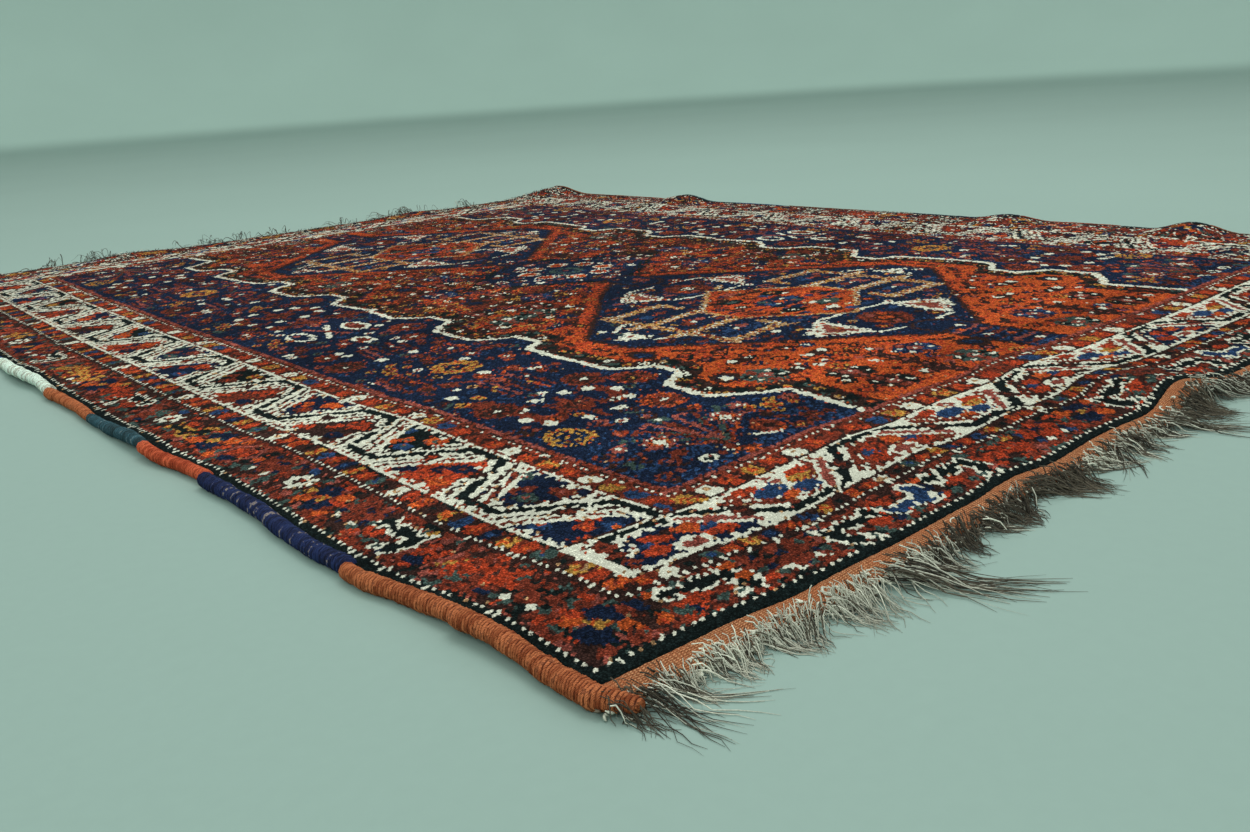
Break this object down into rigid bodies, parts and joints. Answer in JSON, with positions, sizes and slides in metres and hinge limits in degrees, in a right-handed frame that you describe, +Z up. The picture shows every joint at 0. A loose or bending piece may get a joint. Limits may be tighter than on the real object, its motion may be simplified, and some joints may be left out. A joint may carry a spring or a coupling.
{
  "type": "shiraz rug",
  "caption": "Hand-knotted wool pile rug lying flat, with flat-woven ends, overcast selvedges in changing colours and loose warp fringes.",
  "frame": {"origin": "on the underside, in the middle of the pile field", "axes": "+Y along the warps from the near end to the far end, +X across the rug, +Z up out of the pile"},
  "size_m": [1.6131, 2.2815, 0.0288],
  "materials": {
    "pile": "cut wool pile, soft sheen, speckled",
    "kilim": "plain woven wool, matte",
    "rust": "wrapped wool, matte",
    "navy": "wrapped wool, matte",
    "scarlet": "wrapped wool, matte",
    "teal": "wrapped wool, matte",
    "ivory": "wrapped wool, matte",
    "blue": "wrapped wool, matte",
    "warp": "twisted undyed wool, hairy"
  },
  "bodies": {
    "root": {"pile_body": "pile", "kilim_end_near": "kilim", "kilim_end_far": "kilim", "selvedge_left_01_rust": "rust", "selvedge_left_02_rust": "rust", "selvedge_left_03_navy": "navy", "selvedge_left_04_scarlet": "scarlet", "selvedge_left_05_teal": "teal", "selvedge_left_06_rust": "rust", "selvedge_left_07_ivory": "ivory", "selvedge_left_08_blue": "blue", "selvedge_left_09_scarlet": "scarlet", "selvedge_left_10_navy": "navy", "selvedge_left_11_teal": "teal", "selvedge_left_12_rust": "rust", "selvedge_right_01_navy": "navy", "selvedge_right_02_rust": "rust", "selvedge_right_03_teal": "teal", "selvedge_right_04_scarlet": "scarlet", "selvedge_right_05_navy": "navy", "selvedge_right_06_ivory": "ivory", "selvedge_right_07_rust": "rust", "selvedge_right_08_blue": "blue", "selvedge_right_09_teal": "teal", "selvedge_right_10_scarlet": "scarlet", "selvedge_right_11_rust": "rust", "warp_fringe_near": "warp", "warp_fringe_far": "warp"}
  },
  "joints": []
}
